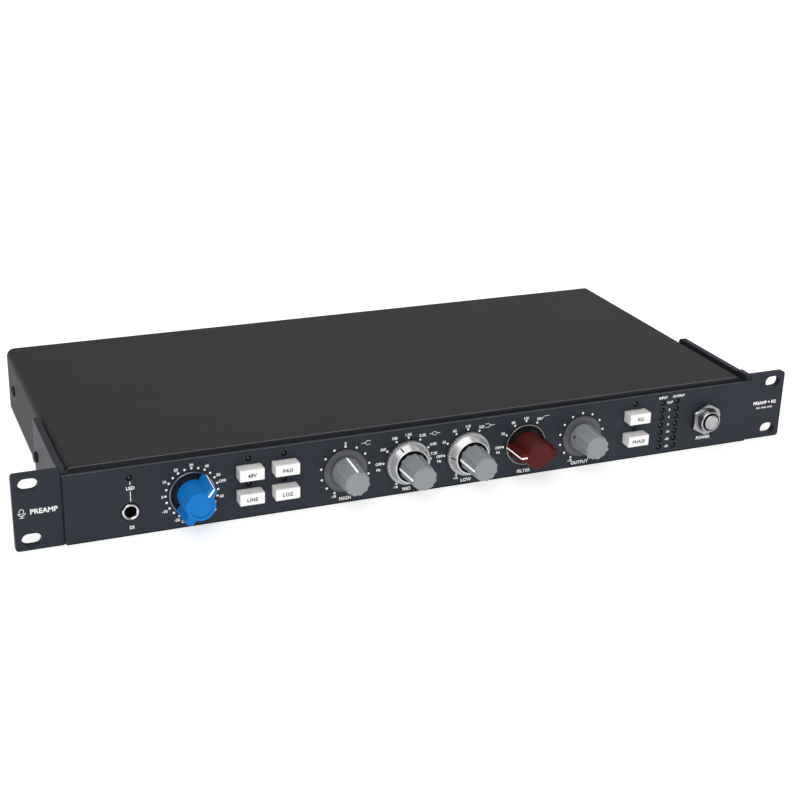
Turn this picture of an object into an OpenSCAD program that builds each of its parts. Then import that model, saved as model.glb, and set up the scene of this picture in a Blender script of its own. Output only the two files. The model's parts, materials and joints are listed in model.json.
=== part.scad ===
// One-unit rack microphone preamp with equaliser.
// Millimetres. +X right, +Y towards the back, +Z up. The origin is under the middle of the whole
// unit, on the surface it stands on. Inside the modules y = 0 is the front face of the panel.

/* [Rack ears] */
// Overall width across both ears
rack_w = 482.6; // [482:0.1:483.2]
// Height of an ear, one rack unit
ear_h = 44; // [43.4:0.1:44.4]
// Distance between the slots of the two ears
slot_pitch_x = 465.1; // [464.6:0.1:465.6]
// Distance between the two slots of one ear
slot_pitch_z = 31.75; // [31.65:0.05:31.85]
// Length of a slot, end to end
slot_len = 10.5; // [9:0.5:12]
// Height of a slot
slot_h = 7; // [6.6:0.1:7.2]
// Thickness of the ear's front plate
ear_plate_t = 4.2; // [2.4:0.1:5]
// Thickness of the ear's side flange
ear_flange_t = 3.8; // [3:0.1:4.2]
// How far the side flange reaches behind the panel face
ear_reach = 81; // [70:1:95]
// How far the ear's front face lies behind the panel face
ear_setback = 1.3; // [1:0.1:2]

/* [Case] */
// Width of the case
case_w = 426; // [422:0.5:427]
// Height of the case's top over the standing surface
case_top = 41.9; // [41:0.1:43]
// Depth from the panel face to the rear edge of the cover
case_depth = 203; // [198:1:240]
// Outer bend radius along the cover's sides
side_bend_r = 5; // [3:0.5:6]
// Outer bend radius along the front wall's top
front_bend_r = 4.4; // [3:0.2:5]
// Sheet thickness of tray and cover
sheet_t = 1.2; // [1:0.1:1.5]
// Height of the rubber feet
foot_h = 2; // [1.5:0.1:2.5]

/* [Front panel] */
// Panel height
panel_h = 40.8; // [40:0.1:42]
// Panel thickness
panel_t = 2; // [1.5:0.1:2]
// Corner radius of the panel
panel_corner_r = 1.2; // [0.8:0.1:4]

/* [Controls] */
// Height of the control axes
control_z = 20.4; // [19.5:0.1:21]
// Spacing of the five equal control positions
control_pitch = 38; // [37:0.5:39]
// Position of the gain control
gain_x = -146; // [-148:0.1:-145]
// Radius of the discs under the knobs
skirt_r = 13; // [11:0.5:13.5]
// Radius of the frequency rings
ring_r = 13.5; // [12:0.5:13.8]
// Radius of the fluted knobs at the base
fluted_base_r = 8.5; // [8:0.1:8.6]
// Radius of the fluted knobs at the front
fluted_front_r = 7.4; // [6.5:0.1:8]
// How far the single fluted knobs stand out of the panel
single_knob_out = 20; // [16:0.5:22]
// How far the concentric knobs stand out of the panel
dual_knob_out = 26; // [23:0.5:27]
// How far the winged knobs stand out of the panel
winged_knob_out = 19.2; // [15:0.2:20]
// Reach of a winged knob's wings from its axis
wing_reach = 12; // [10.5:0.5:12.5]

/* [Buttons] */
// Width of a button cap
cap_w = 14.2; // [12:0.1:14.6]
// Height of a button cap
cap_h = 6.9; // [6:0.1:7.2]
// How far a cap stands out of the panel
cap_out = 7; // [5:0.5:8]
// Travel of a button
cap_travel = 3; // [2:0.5:3]

/* [Hidden] */

$fn = 64;
eps = 0.01;         // overshoot of a cut past the face it opens
gap = 0.1;          // clearance between fixed neighbours
turn_gap = 0.05;    // radial running clearance of turning and sliding parts

// Case
case_x = case_w / 2;
tray_x = case_x - sheet_t - gap;
rear_face = case_depth - 1;
rear_t = 1.2;
wall_y = panel_t;
wall_back = wall_y + sheet_t;
bend_back = wall_y + front_bend_r;
cover_front = bend_back + 0.4;
floor_top = foot_h + sheet_t;
cover_bottom = foot_h + 0.5;

// Ears
ear_x = rack_w / 2;
flange_in = case_x + gap;
flange_out = flange_in + ear_flange_t;
ear_front_x = flange_in + 2.7;
panel_half_w = ear_front_x - 0.5;
ear_block_y = 13;      // the ear keeps its full height up to here
flange_drop = 1;       // the side flange is lower at top and bottom by this much
screw_z = 21;
ear_screw_y = [20, 47, 74];
cover_screw_y = case_depth - 22;
side_hole_r = 2.1;

// Origin of the whole unit
latch_out = 3;
latch_travel = 1.5;
latch_in = 5;
origin_y = (dual_knob_out - rear_face - latch_out) / 2;

// Control positions
high_x = -1.5 * control_pitch;
mid_x = -0.5 * control_pitch;
low_x = 0.5 * control_pitch;
filter_x = 1.5 * control_pitch;
output_x = 2.5 * control_pitch;
bushing_r = 4.6;
dual_bushing_r = 5.2;
shaft_r = 3;
sleeve_r = 4.1;
knob_base_y = -3;      // the concentric knobs start in front of the floor of their ring
ring_band = [-0.8, -3.6];
ring_front = -8.4;
ring_cone_r = 12.2;
ring_rim_r = 10.3;
ring_mouth_r = 9.6;
skirt_back = 0.2;
skirt_front = 1.4;
winged_body_r = 8.4;
wing_w = 4.8;
// Rest angles of the pointers, clockwise from the top
gain_rest = 38;
high_rest = 0;
band_rest = -90;
filter_rest = -90;
output_rest = 105;
mid_ring_rest = -30;
low_ring_rest = -90;

// Buttons and lights
cap_x = [-113.8, -93.3, -113.8, -93.3, 131.6, 131.6];
cap_z = [28.9, 28.9, 14.4, 14.4, 28.9, 14.4];
cap_gap = 0.45;
plunger_back = 6.6;
led_r = 1.5;
led_hole_r = 1.75;
status_led_lift = 7.2;
low_led_lift = 6.5;
meter_x = [151, 161.3];
meter_low_z = 4.8;
meter_pitch = 4.9;
meter_rows = 7;
board_y = 12;
board_t = 1.6;

// Instrument jack
di_x = -180;
di_z = 14.4;
di_led_z = 34.4;
jack_r = 3.2;
di_bushing_r = 4.8;
di_hole_r = 5.3;
di_out = 0.8;
di_depth = 24;

// Power switch
power_x = 182.4;
barrel_r = 7.9;
bezel_mouth_r = 5.6;
bezel_mouth_depth = 2.2;
nut_flats = 18.4;
nut_t = 3.6;
bezel_out = 7.8;
bezel_front_r = 6.8;
power_button_r = 4.7;
power_button_out = 9;
power_travel = 2;
power_button_back = 5;

// Rear connectors
rear_z = 21.2;
mic_x = -165;
line_in_x = -122;
output_xlr_x = -82;
line_out_x = -40;
inlet_x = 160;
flange_t = 2.2;
xlr_w = 26;
xlr_h = 31;
xlr_r = 11.9;
inlet_w = 50;
inlet_h = 30;
inlet_body_w = 27.4;

// Boards
main_board_z = 9;
main_x0 = -200;
main_x1 = 112;
main_y0 = 42;
main_y1 = 176;

function led_z(i) = cap_z[i] + (cap_z[i] > control_z ? status_led_lift : low_led_lift);

// ---- helpers -------------------------------------------------------------------------------

// Moves a part drawn from the panel face into the unit's own frame
module in_unit() { translate([0, origin_y, 0]) children(); }

// Round bar or cone along Y between two depths
module bar_y(y0, y1, r, r2 = -1) {
    translate([0, y0, 0]) rotate([-90, 0, 0])
        cylinder(h = y1 - y0, r1 = r, r2 = r2 < 0 ? r : r2);
}

// Outline in X and Z, thickened along Y
module slab_y(y0, y1) {
    translate([0, y1, 0]) rotate([90, 0, 0]) linear_extrude(y1 - y0) children();
}

// Profile of radius against depth, turned about an axis along Y
module turned_y() { rotate([-90, 0, 0]) rotate_extrude() children(); }

// Box between two corners
module box(a, b) { translate(a) cube(b - a); }

// Rectangle with round corners, centred
module round_rect(w, h, r) {
    square([w - 2 * r, h], center = true);
    square([w, h - 2 * r], center = true);
    for (sx = [-1, 1], sz = [-1, 1])
        translate([sx * (w / 2 - r), sz * (h / 2 - r)]) circle(r);
}

// Cross-section of the case with its two rounded top corners
module case_outline(half_w, top, r) {
    translate([-half_w, 0]) square([2 * half_w, top - r]);
    translate([r - half_w, 0]) square([2 * (half_w - r), top]);
    for (s = [-1, 1]) translate([s * (half_w - r), top - r]) circle(r);
}

// Pan-head screw standing on z = 0, shank downwards
module pan_screw(head_r, head_h, shank_r, len) {
    difference() {
        union() {
            cylinder(h = head_h * 0.55, r = head_r);
            translate([0, 0, head_h * 0.55])
                cylinder(h = head_h * 0.45, r1 = head_r, r2 = head_r * 0.68);
        }
        for (a = [0, 90]) rotate(a)
            translate([-head_r * 0.5, -head_r * 0.11, head_h * 0.45])
                cube([head_r, head_r * 0.22, head_h]);
    }
    translate([0, 0, -len]) cylinder(h = len, r = shank_r);
}

// ---- case ----------------------------------------------------------------------------------

// Openings of the panel and of the wall behind it, as X-Z outlines grown by c
module front_openings(c) {
    for (x = [gain_x, high_x, filter_x, output_x])
        translate([x, control_z]) circle(bushing_r + 0.2 + c);
    for (x = [mid_x, low_x]) translate([x, control_z]) circle(dual_bushing_r + 0.2 + c);
    for (i = [0:5]) {
        translate([cap_x[i], cap_z[i]])
            square([cap_w + 2 * cap_gap + 2 * c, cap_h + 2 * cap_gap + 2 * c], center = true);
        translate([cap_x[i], led_z(i)]) circle(led_hole_r + c);
    }
    translate([di_x, di_led_z]) circle(led_hole_r + c);
    for (x = meter_x, k = [0:meter_rows - 1])
        translate([x, meter_low_z + k * meter_pitch]) circle(led_hole_r + c / 2);
    translate([di_x, di_z]) circle(di_hole_r + c);
    translate([power_x, control_z]) circle(barrel_r + 0.2 + c);
}

module front_wall_profile() {
    c = [bend_back, case_top - front_bend_r];
    translate([wall_y, foot_h]) square([sheet_t, c[1] - foot_h]);
    translate([bend_back, case_top - sheet_t]) square([0.3, sheet_t]);
    intersection() {
        difference() {
            translate(c) circle(front_bend_r);
            translate(c) circle(front_bend_r - sheet_t);
        }
        translate([wall_y - 1, c[1]]) square([front_bend_r + 1, front_bend_r + 1]);
    }
}

module front_wall() {
    difference() {
        intersection() {
            translate([-case_x, 0, 0]) rotate([90, 0, 90])
                linear_extrude(case_w) front_wall_profile();
            slab_y(0, bend_back + 2) case_outline(case_x, case_top, side_bend_r);
        }
        slab_y(wall_y - eps, wall_back + 0.3) front_openings(0.3);
    }
    // joggled ledge that carries the cover's front edge
    box([20 - case_x, bend_back - 0.6, case_top - 2.5], [case_x - 20, bend_back + 0.3, case_top - 1]);
    box([20 - case_x, bend_back - 0.6, case_top - 2.5], [case_x - 20, bend_back + 10, case_top - 1.3]);
}

module side_screw_holes(x0, x1, r) {
    for (s = [-1, 1], y = concat(ear_screw_y, [cover_screw_y]))
        translate([s * (x0 + x1) / 2, y, screw_z]) rotate([0, 90, 0])
            cylinder(h = x1 - x0 + 2, r = r, center = true);
}

module chassis_tray() color([0.20, 0.22, 0.25]) in_unit() difference() {
    union() {
        front_wall();
        box([-tray_x, wall_y, foot_h], [tray_x, rear_face - rear_t, floor_top]);
        for (s = [-1, 1])
            box([s * tray_x - (s > 0 ? sheet_t : 0), wall_back - eps, foot_h],
                [s * tray_x + (s > 0 ? 0 : sheet_t), rear_face - rear_t - 1, case_top - 8]);
    }
    side_screw_holes(tray_x - sheet_t, tray_x, side_hole_r);
    for (x = [main_x0 + 8, (main_x0 + main_x1) / 2, main_x1 - 8], y = [main_y0 + 8, main_y1 - 8])
        translate([x, y, 0]) cylinder(h = 10, r = 1.6);
}

module top_cover() color([0.20, 0.19, 0.20]) in_unit() difference() {
    slab_y(cover_front, case_depth) difference() {
        case_outline(case_x, case_top, side_bend_r);
        case_outline(case_x - sheet_t, case_top - sheet_t, side_bend_r - sheet_t);
        translate([-case_x - 1, -1]) square([case_w + 2, cover_bottom + 1]);
    }
    side_screw_holes(case_x - sheet_t, case_x, side_hole_r);
}

module front_panel() color([0.21, 0.23, 0.26]) in_unit() slab_y(0, panel_t) difference() {
    translate([0, panel_h / 2]) round_rect(2 * panel_half_w, panel_h, panel_corner_r);
    front_openings(0);
}

module rear_openings() {
    for (x = [mic_x, output_xlr_x]) translate([x, rear_z]) circle(xlr_r + 0.1);
    for (x = [line_in_x, line_out_x]) translate([x, rear_z]) circle(5.6);
    translate([inlet_x, rear_z]) square([inlet_body_w + 0.2, inlet_h - 2.6], center = true);
    translate([mic_x - 3.2, rear_z + 10.4]) square([6.4, 3.8]);
    for (x = [mic_x, output_xlr_x], s = [-1, 1])
        translate([x - s * (xlr_w / 2 - 3.2), rear_z + s * (xlr_h / 2 - 3.4)]) circle(1.6);
    for (s = [-1, 1]) translate([inlet_x + s * 20, rear_z]) circle(1.6);
}

module rear_panel() color([0.20, 0.20, 0.21]) in_unit() {
    slab_y(rear_face - rear_t, rear_face) difference() {
        translate([-tray_x, foot_h]) square([2 * tray_x, case_top - sheet_t - 0.2 - foot_h]);
        rear_openings();
        for (s = [-1, 1]) translate([s * tray_x, case_top - sheet_t - 0.2])
            rotate(45) square(4, center = true);
    }
    // flange that stiffens the top edge under the cover
    box([-180, rear_face - rear_t - 8, case_top - 2 * sheet_t - 0.2],
        [180, rear_face - rear_t, case_top - sheet_t - 0.2]);
}

module ear_slots(s) {
    for (k = [-1, 1])
        translate([s * slot_pitch_x / 2, ear_h / 2 + k * slot_pitch_z / 2]) {
            square([slot_len - slot_h, slot_h], center = true);
            for (e = [-1, 1]) translate([e * (slot_len - slot_h) / 2, 0]) circle(slot_h / 2);
        }
}

// Ear on the side s: a slotted front plate, a tall block at the corner and a lower side flange
module rack_ear(s) {
    plate_w = ear_x - ear_front_x;
    corner = 2.5;
    slab_y(ear_setback, ear_setback + ear_plate_t) difference() {
        union() {
            translate([s * (ear_front_x + plate_w / 2), ear_h / 2])
                round_rect(plate_w, ear_h, corner);
            translate([s * (ear_front_x + corner), ear_h / 2])
                square([2 * corner, ear_h], center = true);
        }
        ear_slots(s);
    }
    x_mid = s * (flange_in + flange_out) / 2;
    difference() {
        translate([x_mid - ear_flange_t / 2, 0, 0]) rotate([90, 0, 90])
            linear_extrude(ear_flange_t) union() {
                translate([panel_t + 0.2, 0]) square([ear_block_y - panel_t - 0.2, ear_h]);
                translate([(ear_block_y + ear_reach) / 2 - 2, ear_h / 2])
                    round_rect(ear_reach - ear_block_y + 4, ear_h - 2 * flange_drop, 3);
            }
        side_screw_holes(flange_in, flange_out, side_hole_r);
    }
}

module rack_ear_left() color([0.22, 0.24, 0.27]) in_unit() rack_ear(-1);
module rack_ear_right() color([0.22, 0.24, 0.27]) in_unit() rack_ear(1);

module side_screws() color([0.12, 0.12, 0.13]) in_unit() for (s = [-1, 1]) {
    for (y = ear_screw_y) translate([s * (flange_out + 0.02), y, screw_z])
        rotate([0, s * 90, 0]) pan_screw(3.4, 2, 1.95, ear_flange_t + 2 * sheet_t + 2);
    translate([s * (case_x + 0.02), cover_screw_y, screw_z])
        rotate([0, s * 90, 0]) pan_screw(3.2, 1.8, 1.95, 2 * sheet_t + 2);
}

module rubber_feet() color([0.08, 0.08, 0.08]) in_unit()
    for (x = [-180, 180], y = [34, case_depth - 26])
        translate([x, y, 0]) difference() {
            cylinder(h = foot_h, r1 = 6, r2 = 6.6);
            translate([0, 0, -eps]) cylinder(h = 0.8, r = 2.2);
        }

// ---- turning controls ----------------------------------------------------------------------

// Puts a turning part on a control axis, its pointer at the rest angle
module on_axis(x, angle) { translate([x, 0, control_z]) rotate([0, angle, 0]) children(); }

module shaft_bore(out) { bar_y(-out + 4, 0, shaft_r + 0.02); }

// Fluted knob; its marker line runs along the top at angle 0, the grub screw hole is opposite
module fluted_knob(out, base_y) {
    flutes = 11;
    difference() {
        bar_y(-out, base_y, fluted_front_r, fluted_base_r);
        for (k = [0:flutes - 1]) rotate([0, (k + 0.5) * 360 / flutes, 0])
            translate([0, -out, fluted_front_r + 1.15]) rotate([-90 + 3.2, 0, 0])
                translate([0, 0, -2]) cylinder(h = out - 3, r = 1.6, $fn = 32);
        shaft_bore(out);
        translate([0, base_y - 3.4, 0]) rotate([180, 0, 0]) cylinder(h = 12, r = 1.1);
    }
}

// Knob with a round body and two opposite wings; the pointing wing is at the top
module winged_knob(out) {
    difference() {
        slab_y(-out, -skirt_front - 0.1) {
            circle(winged_body_r);
            square([wing_w, 2 * wing_reach], center = true);
        }
        slab_y(-out - 1, -out + 0.5) difference() {
            circle(6.3);
            circle(5.9);
        }
        shaft_bore(out);
        // marker groove along the pointing wing
        box([-0.4, -out - 1, 7], [0.4, -out + 0.4, wing_reach + 1]);
        // two grip grooves on the tail wing
        for (s = [-1, 1]) box([s * 1.2 - 0.3, -out - 1, -wing_reach - 1],
                              [s * 1.2 + 0.3, -out + 0.4, -winged_body_r]);
    }
}

module skirt_disc() {
    turned_y() difference() {
        translate([0, -skirt_front]) square([skirt_r, skirt_front - skirt_back]);
        translate([-1, -skirt_front - 1]) square([1 + shaft_r + 0.02, 4]);
        translate([9.6, -skirt_front - 1]) square([2.4, 1.4]);
    }
}

module control_shaft(out, depth) { bar_y(-out + 5, depth, shaft_r); }

module gain_knob() color([0.10, 0.45, 0.80]) in_unit() on_axis(gain_x, gain_rest)
    winged_knob(winged_knob_out);
module filter_knob() color([0.40, 0.12, 0.12]) in_unit() on_axis(filter_x, filter_rest)
    winged_knob(winged_knob_out);
module high_knob() color([0.50, 0.52, 0.54]) in_unit() on_axis(high_x, high_rest)
    fluted_knob(single_knob_out, -skirt_front - 0.1);
module output_knob() color([0.50, 0.52, 0.54]) in_unit() on_axis(output_x, output_rest)
    fluted_knob(single_knob_out, -skirt_front - 0.1);
module mid_gain_knob() color([0.50, 0.52, 0.54]) in_unit() on_axis(mid_x, band_rest)
    fluted_knob(dual_knob_out, knob_base_y);
module low_gain_knob() color([0.50, 0.52, 0.54]) in_unit() on_axis(low_x, band_rest)
    fluted_knob(dual_knob_out, knob_base_y);

module gain_skirt() color([0.12, 0.12, 0.13]) in_unit() on_axis(gain_x, 0) skirt_disc();
module filter_skirt() color([0.12, 0.12, 0.13]) in_unit() on_axis(filter_x, 0) skirt_disc();
module high_skirt() color([0.31, 0.31, 0.33]) in_unit() on_axis(high_x, 0) skirt_disc();
module output_skirt() color([0.31, 0.31, 0.33]) in_unit() on_axis(output_x, 0) skirt_disc();

module gain_shaft() color([0.7, 0.7, 0.7]) in_unit() on_axis(gain_x, 0)
    control_shaft(winged_knob_out, 24);
module filter_shaft() color([0.7, 0.7, 0.7]) in_unit() on_axis(filter_x, 0)
    control_shaft(winged_knob_out, 16);
module high_shaft() color([0.7, 0.7, 0.7]) in_unit() on_axis(high_x, 0)
    control_shaft(single_knob_out, 11);
module output_shaft() color([0.7, 0.7, 0.7]) in_unit() on_axis(output_x, 0)
    control_shaft(single_knob_out, 11);
module mid_gain_shaft() color([0.7, 0.7, 0.7]) in_unit() on_axis(mid_x, 0)
    control_shaft(dual_knob_out, 24);
module low_gain_shaft() color([0.7, 0.7, 0.7]) in_unit() on_axis(low_x, 0)
    control_shaft(dual_knob_out, 24);

// Knurled ring with a bright cone and a hollow sleeve that the inner shaft runs through
module frequency_ring() {
    difference() {
        turned_y() difference() {
            polygon([[0, -2.5], [ring_mouth_r, -2.5], [ring_mouth_r, ring_front], [ring_rim_r, ring_front],
                     [ring_cone_r, ring_band[1] - 0.5], [ring_cone_r, ring_band[1]],
                     [ring_r, ring_band[1]], [ring_r, ring_band[0]],
                     [sleeve_r, ring_band[0]], [sleeve_r, 12], [0, 12]]);
            translate([-1, -4]) square([1 + shaft_r + turn_gap, 18]);
        }
        // marker groove across the cone, at the top of the ring
        box([-0.4, ring_front - 1, ring_mouth_r + 0.3], [0.4, ring_band[1] - 1.4, ring_cone_r]);
        // grub screw hole
        rotate([0, -15, 0]) translate([0, -2.2, 8]) cylinder(h = 8, r = 0.8);
    }
}

module mid_frequency_ring() color([0.85, 0.85, 0.86]) in_unit() on_axis(mid_x, mid_ring_rest)
    frequency_ring();
module low_frequency_ring() color([0.85, 0.85, 0.86]) in_unit() on_axis(low_x, low_ring_rest)
    frequency_ring();

// Fixed body of a rotary control: front bushing, round can and terminals
module control_body(bush_r, bore_r, can_r, can_depth, bore_depth) {
    can_front = wall_back + 0.2;
    difference() {
        union() {
            bar_y(0.2, can_front + 1, bush_r);
            bar_y(can_front, can_front + can_depth, can_r);
            box([-6, can_front + can_depth - 1, -can_r - 1], [6, can_front + can_depth + 3, -3]);
        }
        bar_y(-1, bore_depth, bore_r);
    }
}

module gain_switch() color([0.15, 0.15, 0.15]) in_unit() on_axis(gain_x, 0)
    control_body(bushing_r, shaft_r + turn_gap, 14.5, 26, 25);
module filter_switch() color([0.15, 0.15, 0.15]) in_unit() on_axis(filter_x, 0)
    control_body(bushing_r, shaft_r + turn_gap, 12.5, 17, 17);
module rotary_pots() color([0.15, 0.30, 0.20]) in_unit()
    for (x = [high_x, output_x]) on_axis(x, 0)
        control_body(bushing_r, shaft_r + turn_gap, 8.5, 12, 12);

module dual_controls() color([0.15, 0.15, 0.15]) in_unit()
    for (x = [mid_x, low_x]) on_axis(x, 0) difference() {
        control_body(dual_bushing_r, sleeve_r + turn_gap, 12.5, 26, 12.6);
        bar_y(12, 25, shaft_r + turn_gap);
    }

// ---- push buttons and lights ---------------------------------------------------------------

// Cap i with its square plunger
module button_cap(i) {
    translate([cap_x[i], 0, cap_z[i]]) {
        slab_y(-cap_out, panel_t - 1) round_rect(cap_w, cap_h, 0.5);
        box([-1.9, panel_t - 1, -1.9], [1.9, plunger_back, 1.9]);
    }
}

module button_48v() color([0.93, 0.93, 0.92]) in_unit() button_cap(0);
module button_pad() color([0.93, 0.93, 0.92]) in_unit() button_cap(1);
module button_line() color([0.93, 0.93, 0.92]) in_unit() button_cap(2);
module button_loz() color([0.93, 0.93, 0.92]) in_unit() button_cap(3);
module button_eq() color([0.93, 0.93, 0.92]) in_unit() button_cap(4);
module button_phase() color([0.93, 0.93, 0.92]) in_unit() button_cap(5);

module button_switches() color([0.9, 0.9, 0.85]) in_unit() for (i = [0:5])
    translate([cap_x[i], 0, cap_z[i]]) difference() {
        box([-4, 5, -3.5], [4, board_y - gap, 3.5]);
        box([-2, 4, -2], [2, plunger_back + cap_travel + 0.9, 2]);
    }

// Round 3 mm light with its spacer; the dome's tip lies at the panel face
module led() {
    bar_y(led_r + 0.1, board_y - gap, led_r);
    translate([0, led_r + 0.1, 0]) sphere(led_r, $fn = 32);
}

module status_leds() color([0.85, 0.85, 0.85]) in_unit() {
    for (i = [0:5]) translate([cap_x[i], 0, led_z(i)]) led();
    translate([di_x, 0, di_led_z]) led();
}

module meter_leds() color([0.5, 0.1, 0.1]) in_unit()
    for (x = meter_x, k = [0:meter_rows - 1])
        translate([x, 0, meter_low_z + k * meter_pitch]) led();

module front_boards() color([0.05, 0.30, 0.15]) in_unit() {
    box([-127, board_y, 4], [-80, board_y + board_t, 38.6]);
    box([120, board_y, 4], [168, board_y + board_t, 38.6]);
    difference() {
        box([-196, board_y, 5], [-166, board_y + board_t, 38.6]);
        box([di_x - 8.2, board_y - 1, di_z - 8.2], [di_x + 8.2, board_y + 4, di_z + 8.2]);
    }
}

module di_jack() color([0.75, 0.75, 0.76]) in_unit() translate([di_x, 0, di_z]) difference() {
    union() {
        bar_y(-di_out, -di_out + 0.6, di_bushing_r - 0.5, di_bushing_r);
        bar_y(-di_out + 0.6, wall_back + 1, di_bushing_r);
        box([-8, wall_back + 0.2, -8], [8, di_depth + 2, 8]);
    }
    bar_y(-di_out - 1, di_depth, jack_r);
}

module power_switch() color([0.72, 0.73, 0.74]) in_unit() on_axis(power_x, 0) difference() {
    union() {
        bar_y(-bezel_out, -nut_t, bezel_front_r, barrel_r);
        bar_y(-nut_t, 20, barrel_r);
        bar_y(20, 26, 6.5);
    }
    bar_y(-bezel_out - 1, -bezel_out + bezel_mouth_depth, bezel_mouth_r);
    bar_y(-bezel_out, power_button_back + power_travel + 1, power_button_r + turn_gap);
}

module power_switch_nut() color([0.80, 0.81, 0.82]) in_unit() on_axis(power_x, 0) difference() {
    intersection() {
        slab_y(-nut_t, 0) rotate(90) circle(nut_flats / 2 / cos(30), $fn = 6);
        bar_y(-nut_t, 0.1, nut_flats / 2 * 1.02, nut_flats / 2 * 1.02 + nut_t + 0.1);
    }
    bar_y(-nut_t - 1, 1, barrel_r + 0.02);
}

module power_button() color([0.80, 0.80, 0.81]) in_unit() on_axis(power_x, 0) {
    bar_y(-power_button_out, -power_button_out + 0.4, power_button_r - 0.4, power_button_r);
    bar_y(-power_button_out + 0.4, power_button_back, power_button_r);
}

// ---- inside --------------------------------------------------------------------------------

module main_board() color([0.05, 0.32, 0.16]) in_unit() difference() {
    box([main_x0, main_y0, main_board_z], [main_x1, main_y1, main_board_z + board_t]);
    for (x = [main_x0 + 8, (main_x0 + main_x1) / 2, main_x1 - 8], y = [main_y0 + 8, main_y1 - 8])
        translate([x, y, 0]) cylinder(h = 30, r = 1.7);
}

module board_standoffs() color([0.80, 0.70, 0.40]) in_unit()
    for (x = [main_x0 + 8, (main_x0 + main_x1) / 2, main_x1 - 8], y = [main_y0 + 8, main_y1 - 8])
        translate([x, y, floor_top]) {
            difference() {
                cylinder(h = main_board_z - floor_top, r = 3.2, $fn = 6);
                translate([0, 0, -eps]) cylinder(h = 3, r = 1.3);
            }
            translate([0, 0, main_board_z - floor_top]) cylinder(h = board_t, r = 1.45);
            translate([0, 0, main_board_z - floor_top + board_t]) cylinder(h = 1.6, r = 2.8);
        }

module mains_transformer() color([0.75, 0.60, 0.20]) in_unit() translate([160, 98, floor_top]) {
    rotate_extrude() translate([22.5, 15]) round_rect(21, 29, 5);
    translate([0, 0, 29.6]) difference() {
        cylinder(h = 1.6, r = 24);
        translate([0, 0, -1]) cylinder(h = 4, r = 3.1);
    }
    cylinder(h = 31.2, r = 3);
    translate([0, 0, 31.2]) cylinder(h = 3, r = 5.5, $fn = 6);
}

module boxed_transformer(w, d, h, r) {
    linear_extrude(h) round_rect(w, d, r);
    for (s = [-1, 1]) translate([s * (w / 2 + 2.9), 0, 0.6]) cube([6, 9, 1.2], center = true);
}

module input_transformer() color([0.55, 0.56, 0.58]) in_unit()
    translate([-150, 150, main_board_z + board_t]) boxed_transformer(30, 26, 24, 3);

module output_transformer() color([0.25, 0.25, 0.27]) in_unit()
    translate([-60, 146, main_board_z + board_t]) {
        boxed_transformer(46, 38, 26, 1);
    }

module eq_inductors() color([0.30, 0.28, 0.25]) in_unit()
    for (x = [-12, 14], y = [62, 88]) translate([x, y, main_board_z + board_t]) difference() {
        cylinder(h = 12, r = 9);
        translate([0, 0, 1]) cylinder(h = 20, r = 1.6);
    }

module capacitors() color([0.10, 0.15, 0.35]) in_unit() {
    for (x = [0, 20, 40, 60, 80], y = [140, 162])
        translate([x, y, main_board_z + board_t]) cylinder(h = 22, r = 8);
    for (x = [-180:16:-68], y = [60, 80, 100])
        translate([x, y, main_board_z + board_t]) cylinder(h = 12, r = 4);
}

module heatsink() color([0.60, 0.61, 0.62]) in_unit()
    translate([40, 108, main_board_z + board_t]) {
        box([0, 0, 0], [60, 3, 24]);
        for (k = [0:9]) box([1 + k * 6.2, 3 - eps, 0], [2.6 + k * 6.2, 14, 24]);
    }

// ---- rear connectors -----------------------------------------------------------------------

module xlr_shell() {
    slab_y(rear_face, rear_face + flange_t) difference() {
        round_rect(xlr_w, xlr_h, 3);
        for (s = [-1, 1]) translate([-s * (xlr_w / 2 - 3.2), s * (xlr_h / 2 - 3.4)]) circle(1.6);
    }
    bar_y(rear_face - 22, rear_face + eps, xlr_r);
}

// The three contacts of a round connector, on a circle
module xlr_contacts() {
    for (a = [25, 155, 270]) rotate([0, -a, 0]) translate([4.8, 0, 0]) children();
}

module mic_in_xlr() color([0.35, 0.35, 0.36]) in_unit() translate([mic_x, 0, rear_z]) difference() {
    xlr_shell();
    // ring gap round the insert that the plug's shell enters
    difference() {
        bar_y(rear_face - 14, rear_face + 5, 9.8);
        bar_y(rear_face - 15, rear_face + 1, 8.3);
    }
    xlr_contacts() bar_y(rear_face - 12, rear_face + 5, 1.3);
    box([-3.2, rear_face - latch_in - latch_travel - 1.5, 10.4], [3.2, rear_face + 5, 14.2]);
}

module xlr_latch() color([0.80, 0.80, 0.81]) in_unit() translate([mic_x, 0, rear_z])
    box([-3, rear_face - latch_in, 10.6], [3, rear_face + latch_out, 14]);

module output_xlr() color([0.35, 0.35, 0.36]) in_unit() translate([output_xlr_x, 0, rear_z]) {
    difference() {
        xlr_shell();
        bar_y(rear_face - 12, rear_face + 5, 9.4);
    }
    xlr_contacts() bar_y(rear_face - 12 - eps, rear_face - 1, 1.2);
}

module rear_jacks() color([0.15, 0.15, 0.15]) in_unit()
    for (x = [line_in_x, line_out_x]) translate([x, 0, rear_z]) difference() {
        union() {
            box([-8, rear_face - 28, -8], [8, rear_face - rear_t - 0.1, 8]);
            bar_y(rear_face - rear_t - 0.2, rear_face + 2.8, 5.5);
            slab_y(rear_face + 0.02, rear_face + 2) circle(7.5, $fn = 6);
        }
        bar_y(rear_face - 26, rear_face + 4, jack_r);
    }

// Drawer slot and plug cavity of the mains inlet
module inlet_cavity() {
    difference() {
        translate([-12.2, -3.2]) square([24.4, 16.4]);
        for (s = [-1, 1]) translate([s * 12.2, 13.2]) rotate(45) square(5, center = true);
    }
}

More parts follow.
